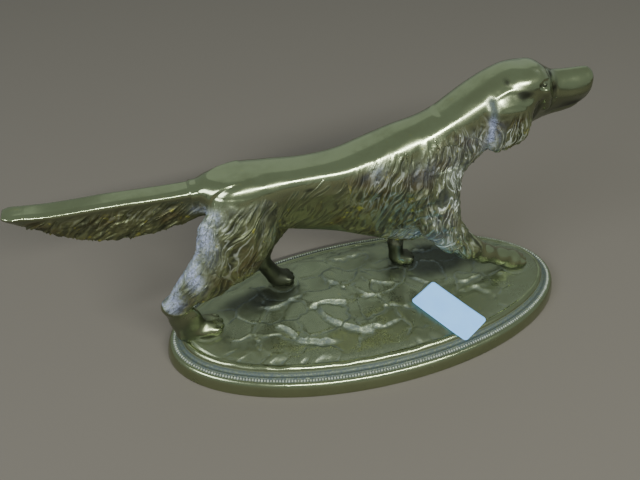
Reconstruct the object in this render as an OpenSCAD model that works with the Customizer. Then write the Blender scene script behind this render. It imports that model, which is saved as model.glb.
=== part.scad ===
// Cast brass gun dog mascot: a setter on point, standing on an oval plinth.
// +X is forwards, +Z is up. The origin is the middle of the plinth's foot.
// The dog's right side is its -Y side.

/* [Plinth] */
// Half length of the plinth at its foot
plinth_a = 120; // [114:1:130]
// Half width of the plinth at its foot
plinth_b = 55; // [52:1:60]
// Height of the bead row above the foot
bead_z = 10; // [9:0.2:11]
// Height of the ground at its rim
field_z = 12.5; // [12:0.5:14]
// Rise of the ground from its rim to the middle
field_dome = 4; // [3:0.5:5]
// Wall thickness of the plinth casting
wall = 3; // [2.5:0.5:4]

/* [Dog] */
// Distance of the dog's middle plane behind the plinth's long axis
dog_y = 8; // [6:1:10]
// Half width of the chest
chest_w = 15; // [14:0.5:16]
// Half width of the hips
hip_w = 13; // [12:0.5:14]
// Width of the tail's flat top
tail_w = 9; // [8:0.5:10]

/* [Fastenings] */
// Thread radius of the studs that hold the paws down
stud_r = 2; // [1.5:0.5:2]
// Thread radius of the holes that take the hood bolts
hood_thread_r = 3; // [2.5:0.5:4]
// Distance between the two hood bolts
hood_pitch = 120; // [110:2:130]
// Radius of the dowels inside the brazed joints
dowel_r = 2.5; // [2:0.5:3]

/* [Label] */
// Length of the paper label
label_l = 38; // [30:1:42]
// Width of the paper label
label_w = 21; // [15:1:22]

/* [Hidden] */

brass = [0.62, 0.56, 0.32];
old_brass = [0.50, 0.45, 0.26];
steel = [0.55, 0.55, 0.56];
paper = [0.88, 0.90, 0.98];

slice_sides = 24; // corners of one slice of the body
skin = 0.2; // thickness of one slice
socket_gap = 0.2; // clearance of a dowel or stud in its socket

// Where each paw stands: [x, y, half length, half width] of the paw
right_fore_paw = [88, -3, 13, 7];
left_fore_paw = [24, 18, 10, 6.5];
right_hind_paw = [-93, -3, 12, 7];
left_hind_paw = [-48, 22, 11, 6.5];
paws = [right_fore_paw, left_fore_paw, right_hind_paw, left_hind_paw];
paw_h = 8; // height of the paw castings
seat_r = 8; // radius of the flat seat under a paw
seat_z = field_z + field_dome; // height that every paw stands at
stud_up = 6; // length of stud inside the paw
stud_down = 13; // length of stud below the seat
washer_r = 5;
washer_h = 1;
nut_r = 4.1; // corner radius of the hexagon nut
nut_h = 3;
roof_z = field_z - wall; // underside of the plinth's roof
seat_back_z = roof_z - 1; // flat face that the washers bear on
boss_r = 8;
boss_thread_l = roof_z - 1;
dowel_l = 16;
neck_joint = [40, dog_y, 112];
neck_pitch = 38;
neck_cut_block = [100, 100, 120]; // the half space beyond the neck joint, as a block
neck_cut_below = 80; // how far that block reaches below the joint
ear_y = 12.5; // middle of an ear, out from the dog's middle plane
ear_h = 6; // half height of the ear's rounded ends
tail_joint = [-83, dog_y, 98];
shoulder_joint = [37, dog_y, 76];
hip_joint = [-70, dog_y, 84];
label_at = [36.5, -26.5];
label_turn = -61;
label_h = 0.3;
label_gap = 0.1; // the label's middle stands this far above the ground
leg_dowel_y = 10; // middle of a leg dowel, out from the dog's middle plane
leg_dowel_l = 10;

// ---------- shapes ----------

function signed_power(v, p) = sign(v) * pow(abs(v), p);

// Egg-shaped outline about its widest line: half width w, up above that line and down below it.
// n squares the outline off, and taper narrows it towards the bottom.
function egg(w, up, down, n = 2.3, taper = 0) = [
    for (i = [0:slice_sides - 1])
        let (t = 360 * i / slice_sides, c = cos(t), s = sin(t))
        [
            signed_power(c, 2 / n) * w * (1 - taper * max(0, -s)),
            signed_power(s, 2 / n) * (s > 0 ? up : down)
        ]
];

// One thin slice across a body: s is [x, z, half width, up, down, squareness, taper, pitch].
module slice(s)
    translate([s[0], dog_y, s[1]])
        rotate([0, -s[7], 0])
            rotate([90, 0, 90])
                linear_extrude(height = skin, center = true)
                    polygon(egg(s[2], s[3], s[4], s[5], s[6]));

// Body through a list of slices.
module slices(list)
    for (i = [0:len(list) - 2])
        hull() {
            slice(list[i]);
            slice(list[i + 1]);
        }

// Ball-ended limb through points [x, y, z, half length along x, half width along y].
module limb(points)
    for (i = [0:len(points) - 2])
        hull() {
            knuckle(points[i]);
            knuckle(points[i + 1]);
        }

module knuckle(p)
    translate([p[0], p[1], p[2]])
        scale([p[3], p[4], min(p[3], p[4])])
            sphere(r = 1, $fn = 14);

// Low rounded paw standing on its seat.
module paw(p)
    hull() {
        translate([p[0], p[1], seat_z])
            scale([p[2], p[3], 1])
                cylinder(r = 0.92, h = skin, $fn = 24);
        translate([p[0], p[1], seat_z + 0.4 * paw_h])
            scale([p[2], p[3], 1])
                cylinder(r = 1, h = skin, $fn = 24);
        translate([p[0] - 0.2 * p[2], p[1], seat_z + paw_h - skin])
            scale([0.6 * p[2], 0.7 * p[3], 1])
                cylinder(r = 1, h = skin, $fn = 24);
    }

module stud_socket(p)
    translate([p[0], p[1], seat_z - 1])
        cylinder(r = stud_r + socket_gap, h = stud_up + 1.5, $fn = 24);

// ---------- dog ----------

torso_slices = [
    [-88, 99, 6, 5, 10, 2.2, 0.2, 0],
    [-83, 98, 10, 9.5, 14, 2.4, 0.2, 0],
    [-72, 97, hip_w, 13, 18, 2.6, 0.2, 0],
    [-56, 96, hip_w, 14, 23, 2.6, 0.3, 0],
    [-38, 95, 0.9 * hip_w, 14, 27, 2.6, 0.5, 0],
    [-20, 94, 0.95 * hip_w, 16, 32, 2.5, 0.6, 0],
    [-4, 93, chest_w, 21, 39, 2.3, 0.6, 0],
    [12, 92, chest_w, 28, 45, 2.2, 0.6, 0],
    [28, 92, chest_w, 30, 50, 2.2, 0.6, 0],
    [40, 94, 0.85 * chest_w, 29, 49, 2.2, 0.5, 0],
    [49, 96, 0.6 * chest_w, 20, 40, 2.2, 0.4, 0]
];

module torso_body() slices(torso_slices);

// The head casting starts in front of this slanting joint face.
module neck_cut()
    translate(neck_joint)
        rotate([0, -neck_pitch, 0])
            translate([0, -neck_cut_block[1] / 2, -neck_cut_below])
                cube(neck_cut_block);

module torso()
    color(brass)
        difference() {
            torso_body();
            neck_cut();
            neck_dowel_hole();
            tail_dowel_hole();
            for (side = [-1, 1]) {
                translate([shoulder_joint[0], dog_y, shoulder_joint[2]])
                    cross_hole(side);
                translate([hip_joint[0], dog_y, hip_joint[2]])
                    cross_hole(side);
            }
        }

module cross_hole(side)
    rotate([-90 * side, 0, 0])
        translate([0, 0, leg_dowel_y])
            cylinder(r = dowel_r + socket_gap, h = leg_dowel_l + 1, center = true, $fn = 24);

module neck_dowel_hole()
    translate(neck_joint)
        rotate([0, 90 - neck_pitch, 0])
            cylinder(r = dowel_r + socket_gap, h = dowel_l + 1, center = true, $fn = 24);

module tail_dowel_hole()
    translate(tail_joint)
        rotate([0, 90, 0])
            cylinder(r = dowel_r + socket_gap, h = dowel_l + 1, center = true, $fn = 24);

head_slices = [
    [34, 105, 11, 18, 18, 2.2, 0.2, 38],
    [44, 114, 11.5, 17.5, 21, 2.2, 0.2, 38],
    [54, 123, 12, 16.5, 22, 2.2, 0.2, 36],
    [63, 129, 12.5, 14, 20, 2.2, 0.2, 22],
    [74, 131, 12.5, 13, 16, 2.2, 0.2, 6],
    [84, 130, 11, 11.5, 14.5, 2.2, 0.3, 0],
    [92, 128, 8.5, 8, 13, 2.3, 0.2, 0],
    [101, 127, 7, 7, 11, 2.5, 0.1, 0],
    [112, 127, 6.5, 6.5, 9, 2.5, 0.1, 0],
    [117, 127, 5, 5.5, 5.5, 2.2, 0.1, 0]
];

// Hanging ear flap on one side: side is -1 for the right ear.
module ear(side)
    for (part = [[[59, 132, 7, 2], [65, 121, 11, 3]], [[65, 121, 11, 3], [67, 111, 10, 3]]])
        hull()
            for (p = part)
                translate([p[0], dog_y + side * ear_y, p[1]])
                    scale([p[2], p[3], ear_h])
                        sphere(r = 1, $fn = 14);

module head()
    color(brass)
        difference() {
            union() {
                slices(head_slices);
                ear(-1);
                ear(1);
            }
            difference() {
                torso_body();
                neck_cut();
            }
            behind_neck_joint();
            neck_dowel_hole();
        }

module behind_neck_joint()
    translate(neck_joint)
        rotate([0, -neck_pitch, 0])
            translate([-neck_cut_block[0], -neck_cut_block[1] / 2, -neck_cut_below])
                cube(neck_cut_block);

tail_slices = [
    [-172, 107, 1.5, 1, 1.5, 2.2, 0.2, 0],
    [-167, 105, 0.8 * tail_w / 2, 1.5, 6, 2.4, 0.7, 0],
    [-158, 103, 0.95 * tail_w / 2, 1.5, 9, 2.4, 0.8, 0],
    [-146, 102, tail_w / 2, 1.5, 15, 2.4, 0.85, 0],
    [-132, 102, tail_w / 2, 1.5, 19, 2.4, 0.85, 0],
    [-116, 102, tail_w / 2, 2, 21, 2.4, 0.85, 0],
    [-102, 101.5, tail_w / 2, 2.5, 19, 2.4, 0.8, 0],
    [-92, 101, tail_w / 2 + 0.5, 3, 16, 2.4, 0.6, 0],
    [-80, 100, tail_w / 2 + 1.5, 4, 12, 2.4, 0.4, 0]
];

module tail()
    color(brass)
        difference() {
            slices(tail_slices);
            torso_body();
            tail_dowel_hole();
        }

// ---------- legs ----------

right_fore_points = [
    [35, -6, 82, 12, 6], [44, -6, 62, 11, 6], [54, -5, 48, 8, 5],
    [68, -4, 34, 6, 5], [78, -3, 27, 5.5, 5], [85, -3, 22, 7, 5]
];
left_fore_points = [
    [32, 22, 82, 12, 6], [28, 21, 62, 8, 5], [24, 20, 46, 5, 5],
    [21, 19, 32, 4, 4], [22, 18, 22, 5, 5]
];
right_hind_points = [
    [-70, -4, 96, 16, 6], [-74, -4, 82, 20, 6], [-80, -5, 66, 17, 6],
    [-94, -5, 54, 13, 5.5], [-110, -4, 43, 7, 4.5], [-106, -3, 34, 7, 4.5],
    [-98, -3, 22, 8, 5]
];
left_hind_points = [
    [-68, 19, 94, 15, 6], [-60, 20, 78, 15, 6], [-54, 21, 62, 10, 6],
    [-58, 22, 48, 6, 5], [-60, 22, 36, 4.5, 4.5], [-52, 22, 22, 5, 5]
];

module leg(points, foot)
    difference() {
        union() {
            limb(points);
            paw(foot);
        }
        torso_body();
        stud_socket(foot);
    }

module right_fore_leg()
    color(brass)
        difference() {
            leg(right_fore_points, right_fore_paw);
            translate([shoulder_joint[0], dog_y, shoulder_joint[2]])
                cross_hole(-1);
        }

module left_fore_leg()
    color(brass)
        difference() {
            leg(left_fore_points, left_fore_paw);
            translate([shoulder_joint[0], dog_y, shoulder_joint[2]])
                cross_hole(1);
        }

module right_hind_leg()
    color(brass)
        difference() {
            leg(right_hind_points, right_hind_paw);
            translate([hip_joint[0], dog_y, hip_joint[2]])
                cross_hole(-1);
        }

module left_hind_leg()
    color(brass)
        difference() {
            leg(left_hind_points, left_hind_paw);
            translate([hip_joint[0], dog_y, hip_joint[2]])
                cross_hole(1);
        }

// ---------- plinth ----------

oval_steps = 80;
foot_inset = 0; // the outline at the foot
bead_inset = 4.6; // the bead row stands this far inside the foot's outline
cove_inset = 8; // floor of the cove between the beads and the ground's lip
lip_inset = 10.5;
field_rings = 5; // rings of points across the domed ground
roof_inset = lip_inset + 1;

// Outer surface from the foot up to the ground's lip, as [inset, height].
outer_profile = [
    [foot_inset, 0], [0.6, 4], [2.4, 7.6], [bead_inset - 1, bead_z], [bead_inset + 1, bead_z],
    [cove_inset, bead_z - 0.8], [lip_inset, field_z]
];
// Inner surface from the foot up to the flat roof of the cavity.
inner_profile = [[wall, 0], [wall + 1, 4], [wall + 5, roof_z - 1], [roof_inset, seat_back_z]];

function oval(inset, z) = [
    for (i = [0:oval_steps - 1])
        let (t = 360 * i / oval_steps)
        [(plinth_a - inset) * cos(t), (plinth_b - inset) * sin(t), z]
];

// Height and slopes of the domed ground at the point p.
function field_height(p) =
    let (x = p[0] / (plinth_a - lip_inset), y = p[1] / (plinth_b - lip_inset))
    field_z + field_dome * (1 - x * x - y * y);
function field_slope(p) = [
    -2 * field_dome * p[0] / pow(plinth_a - lip_inset, 2),
    -2 * field_dome * p[1] / pow(plinth_b - lip_inset, 2)
];

// The ground's ring number k, from its rim towards the middle.
function field_ring(k) =
    let (f = 1 - k / (field_rings + 1), h = field_z + field_dome * (1 - f * f))
    [for (p = oval(lip_inset, h)) [p[0] * f, p[1] * f, h]];

outer_rings = [
    for (p = outer_profile) oval(p[0], p[1]),
    for (k = [1:field_rings]) field_ring(k)
];
inner_rings = [for (i = [len(inner_profile) - 1:-1:0]) oval(inner_profile[i][0], inner_profile[i][1])];

// Closed solid through a stack of equal rings, capped at the first and the last by a middle point.
module ringed_solid(rings, first_middle, last_middle) {
    n = len(rings[0]);
    last = len(rings) - 1;
    points = [for (r = rings) each r, first_middle, last_middle];
    walls = [
        for (k = [0:last - 1], i = [0:n - 1])
            let (a = k * n + i, b = k * n + (i + 1) % n)
            each [[a, a + n, b], [b, a + n, b + n]]
    ];
    caps = [
        for (i = [0:n - 1])
            let (j = (i + 1) % n)
            each [[i, j, len(points) - 2], [last * n + i, len(points) - 1, last * n + j]]
    ];
    polyhedron(points, concat(walls, caps));
}

module plinth()
    color(old_brass)
        difference() {
            union() {
                ringed_solid(
                    concat(inner_rings, outer_rings),
                    [0, 0, seat_back_z],
                    [0, 0, field_z + field_dome]
                );
                for (p = paws)
                    translate([p[0], p[1], field_z - 1])
                        cylinder(r = seat_r, h = seat_z - field_z + 1, $fn = 48);
            }
            for (p = paws)
                translate([p[0], p[1], -1])
                    cylinder(r = stud_r + socket_gap, h = seat_z + 2, $fn = 32);
        }

// ---------- fastenings ----------

module paw_studs()
    color(steel)
        for (p = paws)
            translate([p[0], p[1], seat_z - stud_down])
                cylinder(r = stud_r, h = stud_down + stud_up, $fn = 32);

module paw_washers()
    color(steel)
        for (p = paws)
            translate([p[0], p[1], seat_back_z - washer_h])
                difference() {
                    cylinder(r = washer_r, h = washer_h, $fn = 32);
                    translate([0, 0, -1])
                        cylinder(r = stud_r + socket_gap, h = washer_h + 2, $fn = 32);
                }

module paw_nuts()
    color(steel)
        for (p = paws)
            translate([p[0], p[1], seat_back_z - washer_h - nut_h])
                difference() {
                    cylinder(r = nut_r, h = nut_h, $fn = 6);
                    translate([0, 0, -1])
                        cylinder(r = stud_r, h = nut_h + 2, $fn = 32);
                }

// Tapped boss brazed under the roof, with its mouth level with the foot.
module hood_boss(x)
    color(old_brass)
        translate([x, 0, 0])
            difference() {
                cylinder(r = boss_r, h = seat_back_z, $fn = 48);
                translate([0, 0, -1])
                    cylinder(r = hood_thread_r, h = boss_thread_l, $fn = 48);
            }

module front_hood_boss() hood_boss(hood_pitch / 2);

module rear_hood_boss() hood_boss(-hood_pitch / 2);

module dowel(h)
    color(steel)
        cylinder(r = dowel_r, h = h, center = true, $fn = 32);

module neck_dowel()
    translate(neck_joint)
        rotate([0, 90 - neck_pitch, 0])
            dowel(dowel_l);

module tail_dowel()
    translate(tail_joint)
        rotate([0, 90, 0])
            dowel(dowel_l);

// One dowel on each side of a leg joint, reaching from the torso into the leg.
module leg_dowels(joint)
    for (side = [-1, 1])
        translate([joint[0], dog_y + side * leg_dowel_y, joint[2]])
            rotate([90, 0, 0])
                dowel(leg_dowel_l);

module shoulder_dowels() leg_dowels(shoulder_joint);

module hip_dowels() leg_dowels(hip_joint);

// ---------- label ----------

module label()
    color(paper)
        translate([label_at[0], label_at[1], field_height(label_at) + label_gap])
            rotate([atan(field_slope(label_at)[1]), -atan(field_slope(label_at)[0]), 0])
                rotate([0, 0, label_turn])
                    linear_extrude(height = label_h)
                        rounded_rectangle(label_l, label_w, 2);

module rounded_rectangle(l, w, r)
    union() {
        square([l - 2 * r, w], center = true);
        square([l, w - 2 * r], center = true);
        for (x = [-1, 1], y = [-1, 1])
            translate([x * (l / 2 - r), y * (w / 2 - r)])
                circle(r = r, $fn = 24);
    }

plinth();
torso();
head();
tail();
right_fore_leg();
left_fore_leg();
right_hind_leg();
left_hind_leg();
neck_dowel();
tail_dowel();
shoulder_dowels();
hip_dowels();
paw_studs();
paw_washers();
paw_nuts();
front_hood_boss();
rear_hood_boss();
label();
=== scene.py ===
"""Cast brass setter on an oval plinth: the visual model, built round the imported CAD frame.

The dog is one sculpted field, worked out in millimetres on a voxel grid, and cut at the same
joints as the CAD castings. The face and paws are part of the field, and the hair is carved into
its surface. The plinth and the label are built round the frame's own boxes.
"""
import math

import bpy
import numpy as np
import openvdb
from mathutils import Matrix, Vector


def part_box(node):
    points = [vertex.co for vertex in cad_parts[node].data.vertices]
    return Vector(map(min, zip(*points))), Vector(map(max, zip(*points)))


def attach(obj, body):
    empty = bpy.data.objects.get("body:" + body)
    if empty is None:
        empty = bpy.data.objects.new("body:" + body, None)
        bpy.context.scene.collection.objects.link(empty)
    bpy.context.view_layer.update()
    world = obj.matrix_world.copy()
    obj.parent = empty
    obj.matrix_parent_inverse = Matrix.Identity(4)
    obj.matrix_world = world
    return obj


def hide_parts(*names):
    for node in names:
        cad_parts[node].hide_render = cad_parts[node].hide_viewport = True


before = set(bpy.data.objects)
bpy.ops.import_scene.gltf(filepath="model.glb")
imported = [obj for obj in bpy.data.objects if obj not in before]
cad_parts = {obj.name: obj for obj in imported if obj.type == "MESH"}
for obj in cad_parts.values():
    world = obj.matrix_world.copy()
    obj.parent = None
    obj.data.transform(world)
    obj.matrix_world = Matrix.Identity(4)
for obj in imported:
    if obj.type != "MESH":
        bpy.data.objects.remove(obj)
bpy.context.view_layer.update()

MM = 0.001
DOG_Y = 8.0          # the dog's middle plane
VOXEL = 0.55         # grid step of the sculpted field
CORNERS = (-178, -16, 13), (123, 34, 149)    # of the field
SEED = 11
FAR = 1e9            # larger than any distance


# ---------- numbers and noise ----------

def smoothstep(low, high, value):
    t = np.clip((value - low) / (high - low), 0.0, 1.0)
    return t * t * (3.0 - 2.0 * t)


def smooth_union(a, b, blend):
    mix = np.clip(0.5 + 0.5 * (b - a) / blend, 0.0, 1.0)
    return b + (a - b) * mix - blend * mix * (1.0 - mix)


def lattice(ix, iy, iz, seed):
    """Repeatable random number from 0 to 1 at each whole-number point."""
    h = (ix * 374761393 + iy * 668265263 + iz * 2147483647 + seed * 974634777) & 0xFFFFFFFF
    h = ((h ^ (h >> 13)) * 1274126177) & 0xFFFFFFFF
    return ((h ^ (h >> 16)) & 0xFFFF) / 65535.0


def corner_weights(fx, fy, fz):
    """Offsets of a cell's eight corners, and each one's weight for a point in the cell."""
    for dx in (0, 1):
        for dy in (0, 1):
            for dz in (0, 1):
                yield dx, dy, dz, ((fx if dx else 1 - fx) * (fy if dy else 1 - fy)
                                   * (fz if dz else 1 - fz))


def noise(x, y, z, scale, seed=SEED):
    """Smooth value noise from -1 to 1, with features about scale millimetres across."""
    coords = [np.asarray(v, dtype=float) / scale for v in np.broadcast_arrays(x, y, z)]
    cells = [np.floor(v).astype(np.int64) for v in coords]
    parts = [v - c for v, c in zip(coords, cells)]
    ease = [f * f * (3.0 - 2.0 * f) for f in parts]
    total = 0.0
    for dx, dy, dz, weight in corner_weights(*ease):
        total = total + weight * lattice(cells[0] + dx, cells[1] + dy, cells[2] + dz, seed)
    return total * 2.0 - 1.0


def curve_through(rows, x):
    """Smooth columns of values at x through rows of [x, value, value, ...]."""
    rows = np.array(rows, dtype=float)
    knots = rows[:, 0]
    slopes = np.gradient(rows[:, 1:], knots, axis=0)
    i = np.clip(np.searchsorted(knots, x) - 1, 0, len(knots) - 2)
    step = knots[i + 1] - knots[i]
    t = np.clip((x - knots[i]) / step, 0.0, 1.0)[..., None]
    step = step[..., None]
    a, b = rows[i, 1:], rows[i + 1, 1:]
    ma, mb = slopes[i] * step, slopes[i + 1] * step
    return ((2 * t**3 - 3 * t**2 + 1) * a + (t**3 - 2 * t**2 + t) * ma
            + (3 * t**2 - 2 * t**3) * b + (t**3 - t**2) * mb)


# ---------- the dog's field ----------

EMPTY = 20.0         # distance stored where nothing has been added


class Field:
    """Signed distance on a grid: negative inside the metal."""

    def __init__(self, low, high, step):
        self.low = np.array(low, dtype=float)
        self.step = step
        count = np.ceil((np.array(high) - self.low) / step).astype(int) + 1
        self.axes = [self.low[k] + step * np.arange(count[k]) for k in range(3)]
        self.values = np.full(count, EMPTY, dtype=np.float32)

    def window(self, low, high):
        """Slices and open coordinate arrays of the grid between two corners."""
        parts = tuple(slice(*np.searchsorted(self.axes[k], (low[k], high[k]))) for k in range(3))
        x, y, z = (axis[part] for axis, part in zip(self.axes, parts))
        return parts, x[:, None, None], y[None, :, None], z[None, None, :]

    def add(self, low, high, distance, blend, cut=False):
        """Joins a shape, given as a function of x, y, z, to the field, or cuts it out."""
        margin = blend + 2 * self.step
        part, x, y, z = self.window(np.array(low) - margin, np.array(high) + margin)
        if 0 in self.values[part].shape:
            return
        shape = np.asarray(distance(x, y, z), dtype=np.float32)
        sign = -1 if cut else 1
        self.values[part] = sign * smooth_union(sign * self.values[part], shape, blend)


def body(field, stations, blend):
    """Body along X through stations of [x, widest z, half width, up, down, squareness, taper]."""
    first, last = stations[0][0], stations[-1][0]
    wide = max(s[2] for s in stations)
    low = (first - 2, DOG_Y - wide, min(s[1] - s[4] for s in stations))
    high = (last + 2, DOG_Y + wide, max(s[1] + s[3] for s in stations))

    def distance(x, y, z):
        values = curve_through(stations, x[:, 0, 0])
        zm, w, up, down, n, taper = [values[:, k][:, None, None] for k in range(6)]
        dz = z - zm
        below = np.clip(-dz / down, 0.0, 1.0)
        width = w * (1.0 - taper * below)
        side = np.abs(y - DOG_Y) / np.maximum(width, 0.3)
        height = np.abs(dz) / np.where(dz > 0, up, down)
        ratio = np.maximum((side**n + height**n) ** (1.0 / n), 0.02)
        reach = np.sqrt((y - DOG_Y)**2 + dz**2)
        radial = reach * (1.0 - 1.0 / ratio)
        ends = np.maximum(first - x, x - last)
        return np.maximum(radial, ends)

    field.add(low, high, distance, blend)


def limb(field, points, blend):
    """Limb through points of [x, y, z, reach along its side view, half width along Y]."""
    points = np.array(points, dtype=float)
    for a, b in zip(points, points[1:]):
        reach = max(a[3], b[3])
        low = np.minimum(a[:3], b[:3]) - reach
        high = np.maximum(a[:3], b[:3]) + reach

        def distance(x, y, z):
            span = b - a
            length = span[0]**2 + span[2]**2
            t = np.clip(((x - a[0]) * span[0] + (z - a[2]) * span[2]) / length, 0.0, 1.0)
            radius = a[3] + span[3] * t
            half = a[4] + span[4] * t
            dx, dz = x - a[0] - span[0] * t, z - a[2] - span[2] * t
            dy = (y - a[1] - span[1] * t) * (radius / half)
            shape = np.sqrt(dx**2 + dz**2 + dy**2) - radius
            return shape * np.minimum(half / radius, 1.0) ** 0.5

        field.add(low, high, distance, blend)


def ball(field, at, radii, blend, cut=False):
    """Joins an ellipsoid to the field, or cuts it out."""
    radii = np.array(radii, dtype=float)

    def distance(x, y, z):
        ratio = np.sqrt(((x - at[0]) / radii[0])**2 + ((y - at[1]) / radii[1])**2
                        + ((z - at[2]) / radii[2])**2)
        return (ratio - 1.0) * radii.min()

    field.add(np.array(at) - radii, np.array(at) + radii, distance, blend, cut)


def nearest_on_line(line, x, y):
    """Distance from each point to a line, its side (1 is left) and how far along, from 0 to 1."""
    best = np.full(x.shape, FAR)
    side, along = np.zeros(x.shape), np.zeros(x.shape)
    for k, (a, b) in enumerate(zip(line, line[1:])):
        e, wx, wy = b - a, x - a[0], y - a[1]
        t = np.clip((wx * e[0] + wy * e[1]) / (e @ e), 0, 1)
        gap = np.hypot(wx - e[0] * t, wy - e[1] * t)
        closer = gap < best
        best = np.where(closer, gap, best)
        side = np.where(closer, np.sign(e[0] * wy - e[1] * wx), side)
        along = np.where(closer, k + t, along)
    return best, side, along / (len(line) - 1)


def outline_distance(outline, px, pz):
    """Distance from each point to a polygon's edge, negative inside it."""
    inside = np.zeros(px.shape, dtype=bool)
    for a, b in zip(outline, np.roll(outline, -1, axis=0)):
        with np.errstate(divide="ignore", invalid="ignore"):
            at = a[0] + (pz - a[1]) / (b[1] - a[1]) * (b - a)[0]
        inside ^= ((a[1] > pz) != (b[1] > pz)) & (px < at)
    closed = np.vstack([outline, outline[:1]])
    return nearest_on_line(closed, px, pz)[0] * np.where(inside, -1.0, 1.0)


def ear(field, side, drop, blend):
    """Hanging ear: thin at its edge, full in the middle, and tucked in at the top."""
    outline = np.array(EAR, dtype=float) - [0, drop]
    low = (outline[:, 0].min(), DOG_Y - 18, outline[:, 1].min())
    high = (outline[:, 0].max(), DOG_Y + 18, outline[:, 1].max())

    def distance(x, y, z):
        px, pz = np.broadcast_arrays(x[:, :, 0], z[:, 0, :])
        edge = outline_distance(outline, px, pz)[:, None, :]
        middle = DOG_Y + side * (EAR_OUT - EAR_TUCK * smoothstep(126, 136, z + drop))
        half = EAR_HALF * (1 - np.exp(np.minimum(edge, 0) / 3.5)) + EAR_EDGE
        return smooth_max(edge, np.abs(y - middle) - half, 1.2)

    field.add(low, high, distance, blend)


def smooth_max(a, b, blend):
    return -smooth_union(-a, -b, blend)


# Stations of the torso, head and tail, as body() takes them.
TORSO = [
    [-90, 99, 3, 3, 6, 2, 0.2], [-87, 99, 7, 6, 10, 2.1, 0.2],
    [-82, 98, 10.5, 9, 14, 2.4, 0.2], [-72, 97, 13.5, 11.8, 18, 3.1, 0.2],
    [-56, 96, 13.2, 12.6, 23, 3.2, 0.3], [-38, 95, 12, 12.6, 28, 3.3, 0.5],
    [-20, 94, 13, 14.8, 33, 3.2, 0.6], [-4, 93, 15, 20.5, 39, 3, 0.6],
    [12, 92, 15.5, 27, 45, 2.7, 0.6], [26, 92, 15, 30, 49, 2.4, 0.6],
    [36, 94, 12.5, 28, 47, 2.2, 0.5], [44, 96, 8.5, 20, 40, 2.1, 0.4],
    [49, 97, 4, 10, 26, 2, 0.3],
]
NECK_AND_HEAD = [
    [14, 99, 10, 13, 20, 2.2, 0.2], [24, 103, 12, 17.3, 21, 2.6, 0.2],
    [36, 108.5, 13.2, 19.4, 22, 3, 0.2], [48, 116, 13.8, 19.6, 24, 3, 0.1],
    [56, 121, 13.8, 19.2, 22.5, 2.8, 0.2], [64, 126, 13.8, 17.4, 21, 2.6, 0.4],
    [72, 129, 13.6, 15, 22.5, 2.6, 0.5], [79, 129.5, 12.4, 14.2, 23, 2.5, 0.55],
    [85, 129, 10, 11.5, 19.5, 2.2, 0.5], [90, 127, 8, 11, 15.5, 2.1, 0.4],
    [96, 126, 7.6, 11.4, 13.4, 1.9, 0.5], [104, 126, 7.4, 11.2, 12.4, 1.85, 0.55],
    [108.6, 126.2, 6.8, 10.9, 11.2, 1.9, 0.5], [111.4, 126.8, 6, 9.8, 9.2, 2.1, 0.4],
    [113.2, 127.2, 4.8, 7.8, 7, 2.3, 0.2], [114.4, 127.2, 2.8, 4.8, 4.4, 2.2, 0],
]
TAIL = [
    [-174, 105.6, 3.4, 0.8, 1.2, 2.8, 0], [-172, 105.2, 4.8, 1.2, 3, 3.2, 0.4],
    [-166, 104.4, 5.2, 1.6, 8, 3.6, 0.7], [-158, 103.2, 5.5, 2.1, 12.5, 3.8, 0.78],
    [-146, 102.7, 5.6, 2.4, 17.8, 3.8, 0.78], [-132, 102.8, 5.7, 2.5, 21.5, 3.8, 0.78],
    [-116, 102.4, 5.7, 2.6, 22, 3.6, 0.78], [-104, 102, 5.7, 2.9, 19.7, 3.4, 0.75],
    [-94, 102, 5.8, 3.2, 17.1, 3, 0.65], [-86, 102, 6.4, 4, 14, 2.7, 0.5],
    [-78, 101, 7.5, 6, 10, 2.6, 0.4], [-72, 100, 8.5, 7, 8, 2.4, 0.4],
]
# The legs, as limb() takes them.
LEGS = {
    "right_fore": [
        [32, -2.6, 82, 12, 6.9], [35, -3.2, 62, 10.5, 6.3], [44, -4, 50, 9, 5],
        [56, -4.4, 39.5, 7, 5], [68, -4, 31, 5.6, 4.8], [80, -3, 25, 5, 4.8], [88, -3, 22, 5.2, 5],
    ],
    "left_fore": [
        [31, 20, 82, 13.2, 6.6], [28, 20.5, 62, 9.5, 5.6], [24, 20, 46, 5, 4.6],
        [21, 19, 32, 4, 4], [22, 18, 23, 4.6, 4.6],
    ],
    "right_hind": [
        [-71, -2, 89, 15, 6], [-75, -4, 80, 18.5, 6.4], [-80, -5, 67, 16, 6],
        [-94, -5, 55, 12, 5.4], [-111.5, -5, 42, 5.4, 4.2], [-107, -5, 31, 7.2, 3.6],
        [-104.5, -4, 20, 9.0, 3.6],
    ],
    "left_hind": [
        [-68, 18, 87, 15, 6], [-60, 19.5, 78, 15, 6], [-54, 21, 62, 10, 6],
        [-58, 22, 48, 5.6, 4.8], [-60, 22, 36, 4.4, 4.4], [-53, 22, 23, 5, 5],
    ],
}
EAR = [[51, 128], [54, 132.5], [60, 135], [67, 134], [72, 131], [75, 126], [76, 118], [75.5, 111],
       [72, 106.5], [66, 104.5], [59, 103], [54.5, 105.5], [53, 111], [53, 118], [51, 125]]
FAR_EAR_DROP = 4.0   # the left ear hangs this much lower
EAR_OUT = 13.2       # the ears' distance from the middle plane
EAR_TUCK = 3.0       # they lie this much closer at the top
EAR_HALF, EAR_EDGE = 3.2, 0.3    # half thickness in the middle, and what is left at the edge

# Middle x and y, half length and half width.
PAWS = {
    "right_fore": (91, -3, 7.5, 6.2),
    "left_fore": (27, 18, 6.5, 5.6),
    "right_hind": (-96, -2.6, 8.2, 7),
    "left_hind": (-48, 22, 6.5, 5.8),
}
GROUND_Z = 16.5      # height the paws stand at
EYE = (79.5, 11.4, 136.2)    # x, distance from the middle plane, z
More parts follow.
